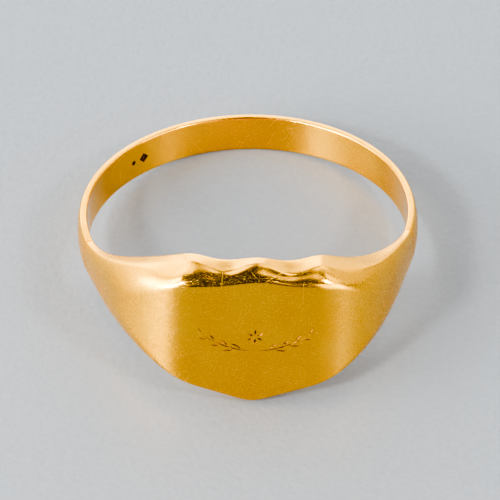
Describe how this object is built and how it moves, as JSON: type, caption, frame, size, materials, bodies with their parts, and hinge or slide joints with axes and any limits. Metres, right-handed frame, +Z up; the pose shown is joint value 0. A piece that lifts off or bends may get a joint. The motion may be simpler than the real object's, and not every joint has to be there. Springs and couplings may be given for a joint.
{
  "type": "signet ring",
  "caption": "Antique yellow-gold shield signet ring: flat engraved seal table with a scalloped top, tapered shoulders and a narrow domed band.",
  "frame": {"origin": "middle of the bounding box on the table that the ring lies on", "axes": "+Z up from the table, -Y towards the shield's side, +X to the right of somebody who faces the shield; the finger axis leans 10.1 degrees from +Z towards +Y"},
  "size_m": [0.0192, 0.0206, 0.0089],
  "materials": {
    "head_gold": "softly worn polished yellow gold with fine scratches",
    "shank_gold": "softly worn polished yellow gold",
    "gold_solder": "paler yellow gold solder, dressed flush"
  },
  "bodies": {
    "root": {"signet_head": "head_gold", "left_shank": "shank_gold", "right_shank": "shank_gold", "left_shoulder_solder": "gold_solder", "right_shoulder_solder": "gold_solder", "back_solder": "gold_solder"}
  },
  "joints": []
}
